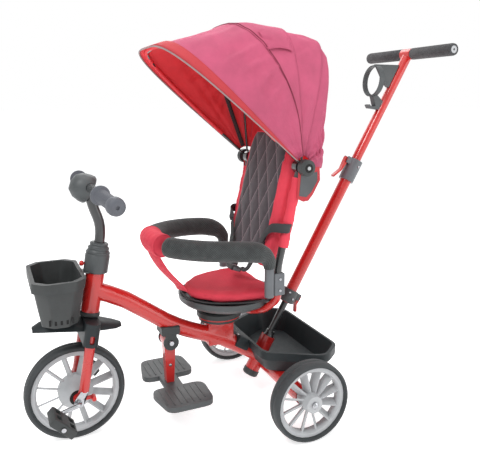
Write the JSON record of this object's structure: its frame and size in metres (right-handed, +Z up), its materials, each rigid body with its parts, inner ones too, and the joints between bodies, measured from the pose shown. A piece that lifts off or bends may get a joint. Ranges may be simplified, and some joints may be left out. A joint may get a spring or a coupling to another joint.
{
  "type": "child's tricycle",
  "caption": "Child's push tricycle with a swivel seat, folding canopy, safety bar, footrest, baskets and a telescoping parent handle.",
  "frame": {"origin": "middle of the footprint box on the floor", "axes": "+Z up, the tricycle faces -X, the rider's left is -Y"},
  "size_m": [1.1563, 0.5856, 1.0445],
  "materials": {
    "red_paint": "gloss red paint",
    "black_paint": "gloss black paint",
    "chrome": "bright chrome",
    "black_plastic": "fine textured black plastic",
    "grey_plastic": "dark grey plastic, light sheen",
    "red_plastic": "gloss red plastic",
    "silver_plastic": "light grey plastic",
    "tyre": "dark grey foam rubber",
    "foam": "black foam grip",
    "red_fabric": "woven red polyester",
    "canopy_fabric": "thin woven pink-red polyester",
    "webbing": "black webbing"
  },
  "bodies": {
    "frame": {"frame": "red_paint", "frame_end_cap": "black_plastic", "headset_cup": "black_plastic", "footrest_bracket": "black_plastic", "footrest_bolt": "chrome", "turntable_base": "black_plastic", "rear_axle": "chrome", "rear_basket": "black_plastic", "pole_foot": "black_paint", "pole_lower": "red_paint", "pole_clamp": "grey_plastic", "pole_collar": "grey_plastic"},
    "steering": {"fork": "red_paint", "fender": "grey_plastic", "stem": "black_paint", "stem_cover": "grey_plastic", "handlebar_pad": "black_plastic", "handlebar_grip_left": "grey_plastic", "handlebar_grip_right": "grey_plastic", "front_basket": "grey_plastic", "basket_bracket": "black_paint"},
    "front_wheel": {"front_tyre": "tyre", "front_rim": "silver_plastic"},
    "cranks": {"crank_axle": "chrome"},
    "pedal_left": {"pedal_left": "black_plastic"},
    "pedal_right": {"pedal_right": "black_plastic"},
    "clutch_lever": {"clutch_lever": "red_plastic"},
    "steering_lock": {"steering_lock_pin": "red_plastic"},
    "rear_wheel_left": {"rear_tyre_left": "tyre", "rear_rim_left": "silver_plastic"},
    "rear_wheel_right": {"rear_tyre_right": "tyre", "rear_rim_right": "silver_plastic"},
    "footrest": {"footrest_arm": "red_paint", "footrest_plates": "grey_plastic"},
    "seat": {"turntable_top": "black_plastic", "seat_pan": "black_plastic", "seat_cushion": "red_fabric", "seat_frame": "red_paint", "arm_bracket_left": "black_plastic", "arm_bracket_right": "black_plastic", "back_tube_left": "black_paint", "back_tube_right": "black_paint", "backrest": "red_fabric", "harness": "webbing", "canopy_hood": "canopy_fabric", "canopy_knob_left": "black_plastic", "canopy_knob_right": "black_plastic"},
    "safety_bar_left": {"safety_bar_left": "foam"},
    "safety_bar_right": {"safety_bar_right": "foam", "bar_cover": "red_fabric"},
    "canopy_middle": {"canopy_middle": "canopy_fabric", "middle_bow": "black_paint"},
    "canopy_front": {"canopy_front": "canopy_fabric", "front_bow": "black_paint"},
    "push_handle": {"pole_upper": "red_paint", "push_grip_left": "foam", "push_grip_right": "foam", "cup_holder": "grey_plastic"},
    "collar_lever": {"collar_lever": "red_plastic"},
    "clamp_lever": {"clamp_lever": "red_plastic"}
  },
  "joints": [
    {"name": "steering", "type": "hinge", "parent": "frame", "child": "steering", "pos_m": [-0.40752, 0, 0.33222], "axis": [0.1736, 0, 0.9848], "range_deg": [-35, 35]},
    {"name": "front_wheel_spin", "type": "hinge", "parent": "steering", "child": "front_wheel", "pos_m": [-0.4532, 0, 0.125], "axis": [0, 1, 0], "continuous": true},
    {"name": "crank_spin", "type": "hinge", "parent": "steering", "child": "cranks", "pos_m": [-0.4532, 0, 0.125], "axis": [0, 1, 0], "continuous": true},
    {"name": "pedal_left_spin", "type": "hinge", "parent": "cranks", "child": "pedal_left", "pos_m": [-0.50244, -0.129, 0.11632], "axis": [0, 1, 0], "continuous": true},
    {"name": "pedal_right_spin", "type": "hinge", "parent": "cranks", "child": "pedal_right", "pos_m": [-0.40396, 0.129, 0.13368], "axis": [0, 1, 0], "continuous": true},
    {"name": "clutch_turn", "type": "hinge", "parent": "steering", "child": "clutch_lever", "pos_m": [-0.4532, 0, 0.125], "axis": [0, 1, 0], "range_deg": [0, 30]},
    {"name": "steering_lock_pull", "type": "slide", "parent": "steering", "child": "steering_lock", "axis": [-0.9848, 0, 0.1736], "range_m": [0, 0.005]},
    {"name": "rear_wheel_left_spin", "type": "hinge", "parent": "frame", "child": "rear_wheel_left", "pos_m": [0.0858, -0.2575, 0.105], "axis": [0, 1, 0], "continuous": true},
    {"name": "rear_wheel_right_spin", "type": "hinge", "parent": "frame", "child": "rear_wheel_right", "pos_m": [0.0858, 0.2575, 0.105], "axis": [0, 1, 0], "continuous": true},
    {"name": "footrest_fold", "type": "hinge", "parent": "frame", "child": "footrest", "pos_m": [-0.2042, 0, 0.2185], "axis": [0, -1, 0], "range_deg": [0, 60]},
    {"name": "seat_swivel", "type": "hinge", "parent": "frame", "child": "seat", "pos_m": [-0.0572, 0, 0.27], "axis": [0, 0, 1], "continuous": true},
    {"name": "safety_bar_left_open", "type": "hinge", "parent": "seat", "child": "safety_bar_left", "pos_m": [0.0208, -0.155, 0.4], "axis": [0, 0, 1], "range_deg": [0, 90]},
    {"name": "safety_bar_right_open", "type": "hinge", "parent": "seat", "child": "safety_bar_right", "pos_m": [0.0208, 0.155, 0.4], "axis": [0, 0, -1], "range_deg": [0, 90]},
    {"name": "canopy_middle_fold", "type": "hinge", "parent": "seat", "child": "canopy_middle", "pos_m": [0.1058, 0, 0.689], "axis": [0, 1, 0], "range_deg": [0, 17]},
    {"name": "canopy_front_fold", "type": "hinge", "parent": "canopy_middle", "child": "canopy_front", "pos_m": [0.1058, 0, 0.689], "axis": [0, 1, 0], "range_deg": [0, 33]},
    {"name": "push_handle_height", "type": "slide", "parent": "frame", "child": "push_handle", "axis": [0.4939, 0, 0.8695], "range_m": [-0.13, 0]},
    {"name": "collar_lever_open", "type": "hinge", "parent": "frame", "child": "collar_lever", "pos_m": [0.35004, 0, 0.68579], "axis": [0, 1, 0], "range_deg": [0, 100]},
    {"name": "clamp_lever_open", "type": "hinge", "parent": "frame", "child": "clamp_lever", "pos_m": [0.19602, 0, 0.28105], "axis": [0, -1, 0], "range_deg": [0, 100]}
  ],
  "couplings": [
    {"joint": "crank_spin", "follows": "front_wheel_spin", "ratio": 1},
    {"joint": "canopy_front_fold", "follows": "canopy_middle_fold", "ratio": 1.9412}
  ]
}
